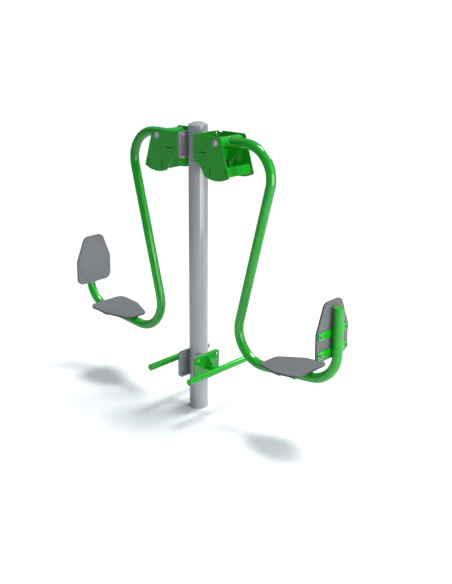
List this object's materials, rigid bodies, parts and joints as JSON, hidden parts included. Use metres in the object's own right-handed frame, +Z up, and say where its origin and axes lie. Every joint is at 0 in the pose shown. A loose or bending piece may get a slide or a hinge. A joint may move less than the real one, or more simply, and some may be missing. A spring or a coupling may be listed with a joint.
{
  "type": "outdoor double leg press",
  "caption": "Free-standing outdoor leg press: two swinging seats with backrests hang from opposite sides of a central post, each facing a foot bar low on the post.",
  "frame": {"origin": "centre of the post's foot, on the ground", "axes": "+Z up, +X towards the right-hand unit, +Y to the rear; the two units are mirror images across the YZ plane"},
  "size_m": [2.3504, 0.567, 1.977],
  "materials": {
    "post_coat": "semi-gloss light grey powder coat over galvanised steel",
    "flange_coat": "semi-gloss mid grey powder coat",
    "green_coat": "gloss green powder coat",
    "board": "matt grey board with a fine grain and darker cut edges",
    "rubber": "matt black moulded rubber",
    "fastener_steel": "bright stainless steel, fine turning marks",
    "bearing_steel": "ground bearing steel"
  },
  "bodies": {
    "frame": {"post_tube": "post_coat", "post_cap": "post_coat", "ground_socket": "post_coat", "right_upper_flange": "flange_coat", "left_upper_flange": "flange_coat", "right_lower_flange": "flange_coat", "left_lower_flange": "flange_coat", "right_housing_back_plate": "green_coat", "left_housing_back_plate": "green_coat", "right_housing_front_side_plate": "green_coat", "left_housing_front_side_plate": "green_coat", "right_housing_rear_side_plate": "green_coat", "left_housing_rear_side_plate": "green_coat", "right_housing_end_wall": "green_coat", "left_housing_end_wall": "green_coat", "right_stop_bracket": "green_coat", "left_stop_bracket": "green_coat", "right_axle": "bearing_steel", "left_axle": "bearing_steel", "right_foot_plate": "green_coat", "left_foot_plate": "green_coat", "right_foot_bar": "green_coat", "left_foot_bar": "green_coat", "foot_stubs": "green_coat", "foot_gussets": "green_coat", "foot_bar_caps": "green_coat", "rest_buffers": "rubber", "buffer_studs": "fastener_steel", "travel_pads": "rubber", "flange_bolts": "fastener_steel", "flange_washers": "fastener_steel", "flange_nuts": "fastener_steel", "axle_bolts": "fastener_steel", "axle_washers": "fastener_steel", "axle_spacers": "bearing_steel", "centre_sleeves": "bearing_steel", "bearing_inner_rings": "bearing_steel", "bearing_balls": "bearing_steel"},
    "right_arm": {"right_pivot_tube": "green_coat", "right_arm_tube": "green_coat", "right_stop_fin": "green_coat", "right_arm_end_cap": "green_coat", "right_seat_brackets": "green_coat", "right_backrest_brackets": "green_coat", "right_seat": "board", "right_backrest": "board", "right_bearing_outer_rings": "bearing_steel", "right_bearing_circlips": "bearing_steel", "right_board_screws": "fastener_steel"},
    "left_arm": {"left_pivot_tube": "green_coat", "left_arm_tube": "green_coat", "left_stop_fin": "green_coat", "left_arm_end_cap": "green_coat", "left_seat_brackets": "green_coat", "left_backrest_brackets": "green_coat", "left_seat": "board", "left_backrest": "board", "left_bearing_outer_rings": "bearing_steel", "left_bearing_circlips": "bearing_steel", "left_board_screws": "fastener_steel"}
  },
  "joints": [
    {"name": "right_arm_swing", "type": "hinge", "parent": "frame", "child": "right_arm", "pos_m": [0.2623, 0, 1.876], "axis": [0, -1, 0], "range_deg": [0, 18.3]},
    {"name": "left_arm_swing", "type": "hinge", "parent": "frame", "child": "left_arm", "pos_m": [-0.2623, 0, 1.876], "axis": [0, 1, 0], "range_deg": [0, 18.3]}
  ]
}
